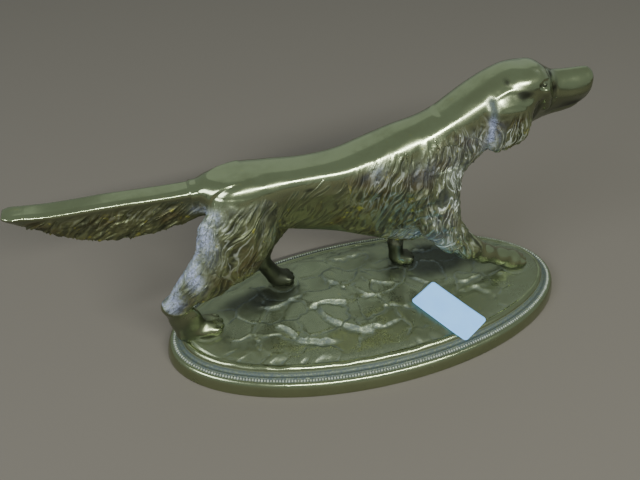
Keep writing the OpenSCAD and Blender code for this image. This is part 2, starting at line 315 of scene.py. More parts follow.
# Ridges and grooves of the face, as points like the eye's.
CHEEK = [(80.6, 9.8, 133.5), (83.5, 8.4, 128.5), (86.5, 6.2, 122)]
BEHIND_CHEEK = [(79.8, 15.4, 127.5), (81.2, 13.6, 120), (80.6, 11.6, 111)]
STOP = [(83, 8.6, 142.4), (86.6, 10.4, 137), (89.2, 10.6, 131), (90, 10.4, 125), (88.6, 9.6, 118)]
TEMPLE = [(67.5, 17.4, 132), (72, 17.2, 132)]


def paw(field, x, y, length, width):
    """Rounded paw with four arched toes towards +X."""
    ball(field, (x - 1.5, y, GROUND_Z + 3.4), (length, width, 4.8), 2.5)
    for k in range(4):
        across = (k - 1.5) / 1.5
        toe_x = x + length * (0.62 - 0.22 * across**2)
        ball(field, (toe_x, y + across * width * 0.72, GROUND_Z + 2.4),
             (length * 0.46, width * 0.27, 3.0), 0.7)


def stroke(field, line, radii, blend, cut=False):
    """Ridge or groove on both sides of the head, along points of [x, distance out, z]."""
    line = np.array(line, dtype=float)
    for a, b in zip(line, line[1:]):
        steps = max(int(np.linalg.norm(b - a) / (0.6 * min(radii))), 1)
        for t in np.linspace(0, 1, steps + 1):
            x, out, z = a + (b - a) * t
            for side in (-1, 1):
                ball(field, (x, DOG_Y + side * out, z), radii, blend, cut)


def head_details(field):
    """Cheeks, stop, temples, eyes, nostrils and nose."""
    stroke(field, CHEEK, (2.2, 2.6, 2.2), 1.8)
    stroke(field, BEHIND_CHEEK, (2.0, 4.4, 2.4), 1.2, cut=True)
    stroke(field, STOP, (1.2, 2.6, 1.4), 1.4, cut=True)
    stroke(field, TEMPLE, (3.4, 3.6, 3.2), 1.8, cut=True)
    stroke(field, [(EYE[0] - 1.9, EYE[1] + 2.2, EYE[2]), (EYE[0] + 1.3, EYE[1] + 1.6, EYE[2])],
           (1.4, 2.2, 1.1), 0.8, cut=True)
    for side in (-1, 1):
        ball(field, (EYE[0], DOG_Y + side * (EYE[1] - 0.8), EYE[2]), (1.3, 1.2, 0.8), 0.3)
        ball(field, (113.8, DOG_Y + side * 2.3, 129.6), (1.2, 1.0, 0.9), 0.4, cut=True)
    ball(field, (112.4, DOG_Y, 131.4), (2.8, 3.8, 2.6), 1.0)


def parts_of_dog():
    """One field for each casting, before they are blended."""
    parts = {name: Field(*CORNERS, VOXEL) for name in BLENDS}
    body(parts["torso"], TORSO, 0.5)
    body(parts["head"], NECK_AND_HEAD, 0.5)
    head_details(parts["head"])
    for side, drop in ((-1, 0.0), (1, FAR_EAR_DROP)):
        ear(parts["head"], side, drop, 3.5)
    body(parts["tail"], TAIL, 0.5)
    for name, points in LEGS.items():
        limb(parts[name + "_leg"], points, 3.0)
        paw(parts[name + "_leg"], *PAWS[name])
    return parts


# How softly each casting runs into the rest of the dog.
BLENDS = {"torso": 0.1, "head": 6.0, "tail": 8.0, "right_fore_leg": 8.0, "left_fore_leg": 8.0,
          "right_hind_leg": 6.0, "left_hind_leg": 6.0}
OVERLAP = 0.35       # the castings' meshes run this far past their joints
LAYERS = 2.6         # locks that lie over each other
FLANK = 12           # the map of the hair keeps true x and z this far from the middle plane
PATCH_STEP = 40.0    # shift between the patterns of neighbouring patches of hair


# ---------- hair and carved lines ----------

# Patches of hair on both sides: middle x and z, half sizes, direction of growth in degrees (0 is
# +X, -90 is down), the locks' length, width and height, and the spacing of the fine strands.
HAIR_COLUMNS = ("at", "size", "turn", "length", "width", "height", "strand")
HAIR = [dict(zip(HAIR_COLUMNS, row)) for row in (
    # chest and shoulder
    ((30, 82), (24, 40), -93, 22, 3.6, 1.9, 2.2),
    ((42, 100), (12, 20), -82, 15, 3.0, 1.5, 1.9),
    ((28, 50), (20, 9), -128, 13, 2.2, 1.6, 1.8),
    # flank and belly
    ((-2, 84), (20, 28), -104, 13, 3.4, 1.0, 2.4),
    ((-34, 84), (22, 18), -122, 9, 4.2, 0.25, 3.2),
    # thigh and hind legs
    ((-74, 80), (20, 24), -112, 11, 4.2, 0.9, 2.8),
    ((-92, 60), (18, 18), -128, 12, 3.2, 1.3, 2.4),
    ((-107, 48), (9, 8), -136, 8, 2.2, 0.8, 1.8),
    ((-58, 66), (12, 22), -98, 10, 3.2, 1.1, 2.4),
    # forelegs
    ((46, 54), (14, 16), -62, 12, 2.8, 1.2, 2.0),
    ((24, 46), (10, 14), -92, 9, 2.4, 0.9, 2.0),
    # neck and ear
    ((38, 112), (16, 16), -74, 12, 2.8, 1.2, 1.9),
    ((63, 111), (15, 15), -84, 13, 2.8, 1.3, 1.9),
    # tail fringe
    ((-124, 91), (48, 13), -138, 7, 2.4, 1.4, 2.2),
    ((-92, 92), (10, 14), -118, 9, 2.6, 1.2, 2.2),
)]


# Height below which the hair is carved, as [x, z].
HAIRLINE = [
    [-176, 103.5], [-150, 101.8], [-110, 101], [-92, 99], [-80, 98], [-60, 101], [-50, 103],
    [-38, 102], [-22, 102], [-10, 106], [0, 109], [10, 110.5], [20, 113], [34, 118], [44, 122],
    [52, 126], [58, 124], [66, 125], [74, 123], [79, 114], [84, 90],
]


def unrolled(points):
    """Coordinates along the dog's sides that carry on round its chest, rump and belly."""
    x, y, z = points.T
    out = np.abs(y - DOG_Y)
    turn_in = smoothstep(10, 50, x) - smoothstep(-60, -85, x)
    on_body = smoothstep(-100, -80, x) * (1 - smoothstep(80, 95, x))
    beyond = out - FLANK
    return x - turn_in * beyond * on_body, z + 0.5 * beyond * on_body


def hair_mask(points, normals):
    """1 where hair is carved, 0 on the polished back, brow, muzzle and paws."""
    x, y, z = points.T
    hairline = curve_through(HAIRLINE, x)[:, 0] + 2.0 * noise(x, y, z, 6.0, 5)
    side = smoothstep(hairline + 3.0, hairline - 4.0, z)
    facing = 1 - smoothstep(0.6, 0.9, normals[:, 2])
    above_paws = smoothstep(22, 32, z)
    muzzle = 1 - smoothstep(75.5, 78, x) * smoothstep(90, 95, z)
    return side * facing * above_paws * muzzle


def strand_relief(u, v, patch, seed):
    """Wavy ridges along the direction of growth: height from 0 to 1, and place across and along."""
    turn = math.radians(patch["turn"])
    along = u * math.cos(turn) + v * math.sin(turn)
    across = -u * math.sin(turn) + v * math.cos(turn)
    across = across + 2.6 * noise(across / 7, along / 12, 0, 1.0, seed + 1)
    across = across + 0.8 * noise(across / 3, along / 5, 0, 1.0, seed + 2)
    wide = noise(across / patch["strand"], along / 12, 0, 1.0, seed)
    fine = noise(across / (0.55 * patch["strand"]), along / 8, 0, 1.0, seed + 3)
    wide, fine = (np.clip(1 - 1.8 * np.abs(ridge), 0, 1) for ridge in (wide, fine))
    return wide * 0.7 + fine * 0.3, across, along


def comb_hair(points):
    """Relief of the combed hair in millimetres, how tall the hair is there, and its flow.

    The flow is the place across and along the hair, for the fine strands in the material.
    """
    rng = np.random.default_rng(SEED)
    u, v = unrolled(points)
    height = np.zeros(len(points))
    strands, depth, weights = np.zeros(len(points)), np.zeros(len(points)), np.zeros(len(points))
    flow, strongest = np.zeros((len(points), 3)), np.zeros(len(points))
    for side in (-1, 1):
        mine = np.nonzero((points[:, 1] - DOG_Y) * side > -0.4)[0]
        mine = mine[np.argsort(u[mine])]
        for patch in HAIR:
            comb_patch(height, u, v, mine, patch, rng)
    for k, patch in enumerate(HAIR):
        (cu, cv), (su, sv) = patch["at"], patch["size"]
        reach = ((u - cu) / su)**2 + ((v - cv) / sv)**2
        chosen = np.nonzero(reach < 1.6)[0]
        weight = np.clip(1.6 - reach[chosen], 0, 1)**2
        crest, across, along = strand_relief(u[chosen], v[chosen], patch, SEED + 10 * k)
        strands[chosen] += weight * crest * patch["height"]
        depth[chosen] += weight * patch["height"]
        weights[chosen] += weight
        best = weight > strongest[chosen]
        shift = np.full(best.sum(), PATCH_STEP * k)
        flow[chosen[best]] = np.stack([across[best], along[best], shift], axis=1)
        strongest[chosen] = np.maximum(strongest[chosen], weight)
    weights = np.maximum(weights, 0.3)
    return 0.75 * height + 0.9 * strands / weights, depth / weights, flow


def comb_patch(height, u, v, mine, patch, rng):
    """Lays one patch's locks over the points of one side, keeping the highest at each point."""
    (cu, cv), (su, sv) = patch["at"], patch["size"]
    length, width = patch["length"], patch["width"]
    sorted_u = u[mine]
    count = int(math.pi * su * sv / (length * width) * LAYERS)
    for _ in range(count):
        angle, reach = rng.uniform(0, 2 * math.pi), math.sqrt(rng.uniform(0, 1))
        start = (cu + su * reach * math.cos(angle), cv + sv * reach * math.sin(angle))
        turn = math.radians(patch["turn"] + rng.normal(0, 9) + 10 * math.sin(start[0] / 6.0))
        this_length = length * rng.uniform(0.6, 1.35)
        this_width = width * rng.uniform(0.6, 1.2)
        wave = rng.uniform(0.3, 1.0) * this_width * 0.55
        phase, bend = rng.uniform(0, 2 * math.pi), rng.normal(0, 0.008)
        top = patch["height"] * rng.uniform(0.35, 1.15) * (1.0 - 0.35 * reach)
        along = np.array([math.cos(turn), math.sin(turn)])
        start = np.array(start) - along * this_length / 2
        end = start + along * this_length
        pad = this_width + wave + abs(bend) * this_length**2
        span_u = min(start[0], end[0]) - pad, max(start[0], end[0]) + pad
        near = mine[slice(*np.searchsorted(sorted_u, span_u))]
        near = near[np.abs(v[near] - start[1]) < this_length + pad]
        du, dv = u[near] - start[0], v[near] - start[1]
        t = (du * along[0] + dv * along[1]) / this_length
        off = (-du * along[1] + dv * along[0]) - wave * np.sin(2 * math.pi * 0.9 * t + phase)
        off = off - bend * (t * this_length)**2
        held = np.clip(t, 0, 1)
        span = np.clip(held / 0.2, 0.02, 1)**0.5 * np.clip(1 - held**2.5, 0.02, 1)**0.6
        q = off / (0.5 * this_width * span)
        inside = (t > 0) & (t < 1) & (np.abs(q) < 1)
        t, q = t[inside], q[inside]
        crown = (1 - np.abs(q)**1.5)**0.8 * (0.84 + 0.16 * np.cos(q * 9.0))
        lift = top * (0.4 + 0.6 * t) * np.clip((1 - t) / 0.1, 0, 1)**0.5 * np.clip(t / 0.15, 0, 1)
        chosen = near[inside]
        height[chosen] = np.maximum(height[chosen], lift * crown)


# Lines carved on both sides of the head and rump: points of [x, z], width, depth and old polish.
CARVED = [
    # mouth
    ([(116, 119.8), (110, 118.2), (102, 116.8), (94, 116)], 0.6, 0.4, 0),
    # behind the ear
    ([(51.6, 131.5), (52.2, 128), (53, 121), (53.8, 112)], 1.4, 0.5, 0.9),
    # upper lid and brow
    ([(76.6, 137.0), (79.0, 138.2), (82.0, 137.4)], 0.6, 0.4, 0),
    ([(73, 144.4), (76, 142.4)], 0.6, 0.5, 0.5),
    ([(78.6, 143.4), (80.8, 141.6)], 0.6, 0.5, 0.5),
    # in front of the ear
    ([(77.6, 128), (78.8, 120), (77.6, 112)], 0.7, 0.5, 0),
]


def carve_lines(points, normals):
    """Depth of the carved lines, and how much grey polish is left in them."""
    depth, old = np.zeros(len(points)), np.zeros(len(points))
    x, z = points[:, 0], points[:, 2]
    sideways = smoothstep(0.25, 0.6, np.abs(normals[:, 1]))
    for line, width, deep, polish in CARVED:
        near = nearest_on_line(np.array(line, dtype=float), x, z)[0]
        depth = np.maximum(depth, deep * np.exp(-(near / width)**2))
        old = np.maximum(old, polish * np.exp(-(near / (1.5 * width))**2))
    return depth * sideways, old * sideways


# Patches along the dog's sides, as x, z, half sizes and strength.
RESIDUE = [    # grey residue of old polish
    (-86, 99, 5, 7, 0.9), (-91, 84, 4.5, 12, 1.0), (-99, 66, 4.5, 12, 1.0), (-112, 50, 6, 9, 0.9),
    (-72, 101, 12, 4, 0.5), (20, 100, 10, 8, 0.2), (40, 100, 12, 18, 0.2), (36, 72, 12, 16, 0.15),
    (26, 50, 14, 8, 0.3), (44, 116, 10, 10, 0.2), (54, 112, 5, 10, 0.5), (-6, 104, 6, 6, 0.3),
]
HAIR_HIGHLIGHTS = [     # painted highlights on the hair's strands
    (38, 84, 15, 34, 1.0), (42, 112, 14, 14, 0.8), (64, 113, 10, 10, 0.9), (28, 48, 22, 8, 1.0),
    (2, 96, 18, 16, 0.5), (-78, 78, 18, 22, 0.45), (-125, 96, 44, 8, 0.2), (48, 52, 12, 14, 0.6),
]
STAINS_AND_SHADE = [      # dark stains on smooth metal, and painted shade in the face's grooves, in front of the ear, under the muzzle and on the near hind foot
    (67.5, 133.6, 5.4, 3.2, 1.0), (80.4, 119, 3.2, 8.0, 1.0), (79.2, 136.2, 2.4, 1.2, 1.0),
    (85.6, 139, 1.8, 3.4, 0.8), (89.2, 132, 1.9, 5.0, 0.9), (89.4, 122, 2.0, 5.5, 0.8),
    (59.5, 139.0, 2.0, 1.8, 0.7), (22, 128, 3.5, 1.6, 0.6), (102, 118, 13, 5.6, 1.0),
    (-38, 99, 5, 1.6, 0.7), (-100, 28, 13, 9, 0.6),
]


def strongest_spot(x, y, spots):
    """Strength at each point of the soft spots, given as a middle, half sizes and strength."""
    value = np.zeros(len(x))
    for cx, cy, rx, ry, strength in spots:
        value = np.maximum(value, strength * np.exp(-((x - cx) / rx)**2 - ((y - cy) / ry)**2))
    return value


def patches(points, spots):
    """Strength of the soft patches on the dog's sides, uneven and off the middle plane."""
    x, y, z = points.T
    sideways = smoothstep(2.0, 4.5, np.abs(y - DOG_Y))
    return strongest_spot(x, z, spots) * sideways * (1.0 + 0.4 * noise(x, y, z, 5.0, 61))


def residue_left(points, normals):
    """Grey polish left in patches, and all down the backs of the thighs."""
    backwards = (smoothstep(-0.45, -0.85, normals[:, 0]) * smoothstep(-66, -74, points[:, 0])
                 * smoothstep(40, 48, points[:, 2]))
    return np.clip(np.maximum(patches(points, RESIDUE), 0.9 * backwards), 0, 1)


# ---------- meshes ----------

BAND = 3.0           # distances are kept this far from the surface
SINK = 0.7           # share of the hair's height that is carved into the metal
FAR_SHADE = 0.75     # painted shade on the far legs

def mesh_from(name, points, faces):
    """Object with a mesh of points in millimetres and faces that all have as many corners."""
    mesh = bpy.data.meshes.new(name)
    mesh.from_pydata((np.asarray(points) * MM).astype(np.float32), [], np.asarray(faces))
    mesh.validate()
    mesh.shade_smooth()
    piece = bpy.data.objects.new(name, mesh)
    bpy.context.scene.collection.objects.link(piece)
    return piece


def paint(piece, name, values):
    """Stores a number or a vector for each vertex, for the materials to read."""
    values = np.asarray(values, dtype=np.float32)
    vectors = values.ndim == 2
    layer = piece.data.attributes.new(name, "FLOAT_VECTOR" if vectors else "FLOAT", "POINT")
    layer.data.foreach_set("vector" if vectors else "value", values.ravel())


def surface(values, low, step):
    """Points and quads of the surface where a grid's values are 0."""
    grid = openvdb.FloatGrid(background=BAND)
    grid.copyFromArray(np.clip(values, -BAND, BAND).astype(np.float32))
    points, quads = grid.convertToQuads(isovalue=0.0)
    return points * step + low, quads[:, ::-1]


def sample(values, field, points):
    """Reads a grid between its points."""
    place = (points - field.low) / field.step
    cell = np.clip(np.floor(place).astype(int), 0, np.array(values.shape) - 2)
    total = 0.0
    for dx, dy, dz, weight in corner_weights(*(place - cell).T):
        total = total + weight * values[cell[:, 0] + dx, cell[:, 1] + dy, cell[:, 2] + dz]
    return total


def sculpt_dog():
    """The castings' meshes: one blended body, cut at its joints and carved all over."""
    parts = parts_of_dog()
    whole = parts["torso"].values.copy()
    for name, part in parts.items():
        if name != "torso":
            whole = smooth_union(whole, part.values, BLENDS[name])
    grid = parts["torso"]
    pieces = []
    for name, part in parts.items():
        others = np.minimum.reduce([p.values for n, p in parts.items() if n != name])
        region = 0.5 * (part.values - others) - OVERLAP
        points, quads = surface(np.maximum(whole, region), grid.low, grid.step)
        pieces.append((name, points, quads))
    slopes = np.gradient(whole, grid.step)
    points = np.concatenate([p for _, p, _ in pieces])
    normals = np.stack([sample(s, grid, points) for s in slopes], axis=1)
    normals /= np.maximum(np.linalg.norm(normals, axis=1, keepdims=True), 1e-6)
    on_skin = 1 - smoothstep(0.2, 0.5, np.abs(sample(whole, grid, points)))
    mask = hair_mask(points, normals)
    relief, depth, flow = comb_hair(points)
    mask = mask * smoothstep(0.0, 0.4, depth)
    carved, old = carve_lines(points, normals)
    push = mask * (relief - SINK * depth) - carved
    moved = points + normals * (push * on_skin)[:, None]
    # dark in the hair's valleys and the carved lines; painted shade is added to it below
    hollow_and_shade = mask * np.clip(0.85 - relief / np.maximum(depth, 0.3), 0, 1) + carved * 0.8
    # stains, and painted shade in the face and on the near hind foot
    hollow_and_shade = np.maximum.reduce([hollow_and_shade, patches(points, STAINS_AND_SHADE), old])
    # painted highlights along the hair's strands
    painted_highlight = patches(points, HAIR_HIGHLIGHTS) * (1 - old)
    residue = np.maximum(residue_left(points, normals) * mask, old)
    # polish on surfaces facing up, and painted shade: surfaces facing down and sideways get the
    # darker unpolished colour
    rubbed_and_lit = smoothstep(-0.25, 0.55, normals[:, 2])
    # painted shade on the far legs: darker and less polished
    far_leg_shade = smoothstep(11, 15, points[:, 1]) * smoothstep(66, 50, points[:, 2])
    rubbed_and_lit = rubbed_and_lit * (1 - 0.85 * far_leg_shade)
    hollow_and_shade = np.maximum(hollow_and_shade, FAR_SHADE * far_leg_shade)
    paints = {"hollow_and_shade": hollow_and_shade, "hair": mask, "residue": residue, "rubbed_and_lit": rubbed_and_lit,
              "painted_highlight": painted_highlight, "flow": flow}
    first = 0
    made = []
    for name, p, quads in pieces:
        part = slice(first, first + len(p))
        piece = mesh_from(name + "_casting", moved[part], quads)
        for kind, values in paints.items():
            paint(piece, kind, values[part])
        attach(piece, "root")
        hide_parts(name)
        made.append(piece)
        first += len(p)
    return made


# ---------- plinth ----------

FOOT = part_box("plinth")[1]
PLINTH_A, PLINTH_B = FOOT.x / MM, FOOT.y / MM    # half length and half width at the foot
GROUND_TOP = FOOT.z / MM     # height of the ground in the middle, and of the seats under the paws
GROUND_RIM = 12.5            # height of the ground at its lip
RIM_INSET = 10.5             # the lip stands this far inside the foot's outline
LIP_INSET = 10.8             # middle of the lip, where it is worn unevenly
GROUND_INSET = 12.4          # where the lip ends and the ground begins
SEAT_R = 7.4                 # radius of the flat seats under the paws
HAZE = 0.2                   # thin film of old polish all over the ground
LEDGE_REACH = 26.0           # a ledge raises the ground no further away than this
ROCKS_ABOVE = 1.2            # rocks stand no further above the seats than this
SHOULDER = 1.4               # rise of the ground just inside its lip
BEADS = 340
BEAD_INSET, BEAD_Z = 4.75, 8.35
BEAD_HALVES = (0.95, 0.72, 1.05)     # across the row, along it and upwards
GROUND_GRID = (320, 176)
LABEL_GRID = (48, 28)
LABEL_CORNER = 2.0           # radius of the label's corners
LABEL_GAP = 0.35             # height of the sheet over the CAD label's middle
LABEL_HALF = 0.12            # half its thickness

# Moulded edge from the ground outwards and down, as [inset, height].
EDGE = [
    [11.9, 12.85], [11.3, 13.15], [10.6, 13.05], [9.9, 12.65], [9.3, 12.1], [8.9, 11.4],
    [8.6, 10.3], [8.4, 9.2], [7.7, 8.7], [6.9, 8.7], [6.3, 9.1], [5.9, 9.15], [5.6, 8.6],
    [4.7, 8.4], [3.9, 8.3], [3.5, 8.4], [3, 8.3], [2.3, 7.8], [1.6, 6.8], [1, 5.2], [0.5, 3.3],
    [0.15, 1.6], [0, 0.5], [0.25, 0],
]
# Inner wall from the foot up to the flat roof.
INSIDE = [[2.8, 0], [3.1, 0.4], [3.6, 3], [4.6, 5.4], [6.4, 7.5], [8.6, 8.3], [11.5, 8.5]]

# Rock ledges on the ground, as height and points: the rock is high on the left of each line.
LEDGES = [
    (2.2, [(-61, -9), (-55, -14), (-50, -23), (-41, -26), (-26, -31)]),
    (2.0, [(-37, 5), (-34, -4), (-31, -13), (-25, -18), (-19, -24), (-11, -27), (-2, -22)]),
    (1.6, [(-41, -4), (-34, -1), (-27, -1), (-19, -3), (-7, -7)]),
    (1.2, [(-10, 7), (-7, 1), (-1, -4), (7, -6)]),
    (1.3, [(1, -12), (8, -14), (17, -18)]),
    (1.5, [(-3, 15), (1, 9), (8, 4), (18, 0)]),
    (1.2, [(-24, 18), (-19, 11), (-14, 8), (-8, 10)]),
    (1.3, [(-69, 6), (-61, 4), (-53, 4), (-46, 7), (-34, 7)]),
    (0.9, [(-77, -11), (-70, -17), (-74, -22)]),
    (0.6, [(-84, -20), (-72, -25), (-58, -30)]),
    (1.3, [(24, 6), (34, -3), (42, -4), (49, -2)]),
    (1.3, [(50, -7), (58, -8), (71, -5)]),
    (1.1, [(56, -10), (64, -18), (69, -23), (76, -16)]),
    (1.0, [(76, -6), (86, -11), (91, -20)]),
    (0.6, [(8, -30), (16, -34), (22, -38)]),
    (1.4, [(-22, 36), (-8, 31), (10, 34)]),
    (1.3, [(34, 28), (48, 25), (64, 29)]),
    (1.3, [(-82, 22), (-70, 27), (-58, 33)]),
]
# Painted shadow on the ground under the dog, as x, y, half sizes and strength.
SHADOW_UNDER_DOG = [(46, 15, 34, 15, 1.3), (-64, 11, 26, 10, 1.0), (-104, 2, 9, 8, 0.8), (4, 24, 22, 8, 0.5),
        (-14, 14, 34, 9, 0.4)]
# Rounded rocks, as x, y, radius and height.
BOULDERS = [(-79, 9, 11, 2.4), (-64, 17, 8, 3), (6, 26, 9, 2), (64, 10, 9, 1.6), (-21, 19, 6, 1.6),
            (-40, 13, 6, 1.4), (23, 13, 6, 1.5), (38, 4, 5, 1.2), (-6, 12, 5, 1.2)]


def smooth_line(points, steps=5):
    """Points along a curve that passes through all the given ones."""
    p = np.array(points, dtype=float)
    p = np.vstack([2 * p[0] - p[1], p, 2 * p[-1] - p[-2]])
    line = []
    for a, b, c, d in zip(p, p[1:], p[2:], p[3:]):
        for t in np.linspace(0, 1, steps, endpoint=False):
            line.append(0.5 * (2 * b + (c - a) * t + (2 * a - 5 * b + 4 * c - d) * t**2
                               + (3 * b - a - 3 * c + d) * t**3))
    return np.array(line + [p[-2]])


def ledge_relief(x, y, height, points):
    """Step in the ground along a line: a scarp, worn down behind it, with a gutter in front."""
    line = smooth_line(points)
    relief = np.zeros(len(x))
    low, high = line.min(axis=0) - LEDGE_REACH, line.max(axis=0) + LEDGE_REACH
    near = np.nonzero((x > low[0]) & (x < high[0]) & (y > low[1]) & (y < high[1]))[0]
    gap, side, along = nearest_on_line(line, x[near], y[near])
    signed = gap * side
    fade = smoothstep(0, 0.2, along) * smoothstep(1, 0.8, along)
    step = smoothstep(-1.3, 1.0, signed) * np.exp(-np.maximum(signed, 0) / 9.0)
    gutter = 0.25 * np.exp(-((signed + 2.2) / 1.4)**2)
    relief[near] = height * fade * (step - gutter)
    return relief


def slab_relief(x, y):
    """Worn slabs of rock: irregular cells with their own height and tilt, and creases between."""
    rng = np.random.default_rng(SEED + 1)
    wx = x + 3.0 * noise(x, y, 0, 9.0, 21) + 0.8 * noise(x, y, 0, 3.0, 22)
    wy = y + 3.0 * noise(x, y, 0, 9.0, 23) + 0.8 * noise(x, y, 0, 3.0, 24)
    cells = np.array([
        (cx + rng.uniform(-8, 8), cy + rng.uniform(-5, 5), rng.uniform(-0.5, 0.5),
         rng.normal(0, 0.02), rng.normal(0.02, 0.02))
        for cx in np.arange(-120, 121, 22.0) for cy in np.arange(-52, 53, 14.0)])
    cx, cy, lift, tilt_x, tilt_y = cells.T[:, :, None]
    gaps = np.hypot(wx - cx, 1.4 * (wy - cy))
    highs = lift + tilt_x * (wx - cx) + tilt_y * (wy - cy)
    nearest = np.argpartition(gaps, 1, axis=0)[:2]
    first, second = np.take_along_axis(gaps, nearest, axis=0)
    height_1, height_2 = np.take_along_axis(highs, nearest, axis=0)
    border = second - first
    own = 0.5 + 0.5 * smoothstep(0, 4.0, border)
    crease = np.exp(-(border / 2.6)**2)
    return own * height_1 + (1 - own) * height_2 - 0.5 * crease


def ground_height(x, y):
    """Height of the plinth's rocky ground."""
    a, b = PLINTH_A - RIM_INSET, PLINTH_B - RIM_INSET
    round_out = np.sqrt((x / a)**2 + (y / b)**2)
    inwards = (1 - round_out) * b
    at_label = np.exp(-(((x - LABEL_AT[0]) / 24)**2 + ((y - LABEL_AT[1]) / 17)**2)**2)
    shoulder = SHOULDER * (1 - np.exp(-np.maximum(inwards - 1.9, 0) / 2.6)) * (1 - at_label)
    dome = GROUND_RIM + shoulder + (GROUND_TOP - GROUND_RIM - SHOULDER) * (1 - round_out**2)
    wx, wy = x + 0.9 * noise(x, y, 0, 4.0, 31), y + 0.9 * noise(x, y, 0, 4.0, 32)
    relief = slab_relief(x, y) * (1.3 + 0.5 * noise(x, y, 0, 24.0, 33))
    for height, points in LEDGES:
        relief = relief + ledge_relief(wx, wy, height, points)
    for bx, by, radius, high in BOULDERS:
        relief = relief + high * np.exp(-((x - bx)**2 + (y - by)**2) / (0.5 * radius**2))
    turn = np.arctan2(y / b, x / a)
    nick = np.clip(noise(turn * 22, 0, 0, 1.0, 34) - 0.25, 0, 1)
    nick = nick * np.exp(-((inwards - 3.0) / 2.0)**2)
    calm = smoothstep(2.0, 13.0, inwards)
    z = dome + relief * calm * (1 - 0.7 * at_label) - 1.1 * nick
    z = np.minimum(z, GROUND_TOP + ROCKS_ABOVE)
    for px, py, _, _ in PAWS.values():
        gap = np.hypot(x - px, y - py)
        z = smooth_max(z, GROUND_TOP - 0.3 * np.maximum(gap - SEAT_R, 0), 0.8)
        z = z - 0.3 * np.exp(-((gap - SEAT_R - 1.2) / 1.1)**2)
    return z


LABEL_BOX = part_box("label")
LABEL_AT = (LABEL_BOX[0] + LABEL_BOX[1]) / 2 / MM


def flat_grid(half_u, half_v, nu, nv):
    """Points of a rectangular grid, its quads and its border anticlockwise."""
    u = np.linspace(-half_u, half_u, nu + 1)[:, None] + np.zeros((1, nv + 1))
    v = np.linspace(-half_v, half_v, nv + 1)[None, :] + np.zeros((nu + 1, 1))
    index = np.arange((nu + 1) * (nv + 1)).reshape(nu + 1, nv + 1)
    quads = np.stack([index[:-1, :-1], index[1:, :-1], index[1:, 1:], index[:-1, 1:]], axis=-1)
    border = np.concatenate([index[:-1, 0], index[-1, :-1], index[:0:-1, -1], index[0, :0:-1]])
    return u, v, quads.reshape(-1, 4), border


def disc_grid(nu, nv):
    """Points of a square grid bent into a round disc, its quads and its border."""
    u, v, quads, border = flat_grid(1, 1, nu, nv)
    sideways = np.abs(u) > np.abs(v)
    safe_u, safe_v = np.where(u == 0, 1, u), np.where(v == 0, 1, v)
    reach = np.where(sideways, u, v)
    turn = np.where(sideways, math.pi / 4 * v / safe_u, math.pi / 2 - math.pi / 4 * u / safe_v)
    return (reach * np.cos(turn)).ravel(), (reach * np.sin(turn)).ravel(), quads, border


def split(quads):
    """Two triangles for each quad."""
    return np.concatenate([quads[:, [0, 1, 2]], quads[:, [0, 2, 3]]])


def oval_point(turn, inset):
    """Point on the plinth's outline, moved inwards."""
    return (PLINTH_A - inset) * np.cos(turn), (PLINTH_B - inset) * np.sin(turn)


def make_plinth():
    """Ground, moulded edge and hollow underside in one closed mesh."""
    dx, dy, quads, border = disc_grid(*GROUND_GRID)
    x, y = (PLINTH_A - GROUND_INSET) * dx, (PLINTH_B - GROUND_INSET) * dy
    z = ground_height(x, y)
    step = 1.2
    right, left = ground_height(x + step, y), ground_height(x - step, y)
    above, below = ground_height(x, y + step), ground_height(x, y - step)
    slope = np.hypot(right - left, above - below) / (2 * step)
    sunk = (right + left + above + below) / 4 - z
    scarp = smoothstep(0.3, 0.7, slope) * (0.6 + 0.35 * noise(x, y, 0, 3.5, 44))
    scarp = np.maximum(scarp, 0.7 * smoothstep(0.03, 0.14, sunk + 0.03 * noise(x, y, 0, 7.0, 43)))
    z = z + 0.28 * scarp * noise(x, y, 0, 1.7, 41)
    points = [np.stack([x, y, z], axis=1)]
    scarps = [np.maximum(scarp, HAZE)]
    faces = [split(quads)]
    turn = np.arctan2(dy[border], dx[border])
    count = len(border)
    ring = border
    total = len(x)
    worn = noise(turn * 14, 0, 0, 1.0, 42)
    for inset, height in EDGE + INSIDE:
        rx, ry = oval_point(turn, inset)
        lip = math.exp(-((inset - LIP_INSET) / 1.2)**2) * (height > 11)
        points.append(np.stack([rx, ry, height + 0.28 * lip * worn], axis=1))
        in_cove = 3.7 < inset < 9.5 and 8.2 < height < 11.3
        scarps.append(np.full(count, 1.0 if in_cove else 0.0))
        following = total + np.arange(count)
        band = [ring, following, np.roll(following, -1), np.roll(ring, -1)]
        faces.append(split(np.stack(band, axis=1)))
        ring = following
        total += count
    points.append([[0.0, 0.0, INSIDE[-1][1]]])
    scarps.append([0.0])
    faces.append(np.stack([ring, np.full(count, total), np.roll(ring, -1)], axis=1))
    piece = mesh_from("plinth_casting", np.concatenate(points), np.concatenate(faces))
    scarps = np.concatenate(scarps)
    rest = len(scarps) - len(x)
    # painted shadow of the dog on the ground
    shadow_under_dog = strongest_spot(x, y, SHADOW_UNDER_DOG) * (1.0 + 0.3 * noise(x, y, 0, 9.0, 45))
    paint(piece, "residue", scarps)
    paint(piece, "rubbed_and_lit", np.concatenate([np.full(len(x), 0.5), np.full(rest, 0.8)]))
    paint(piece, "hollow_and_shade", np.maximum(0.45 * scarps, np.concatenate([shadow_under_dog, np.zeros(rest)])))
    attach(piece, "root")
    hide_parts("plinth")
    return piece


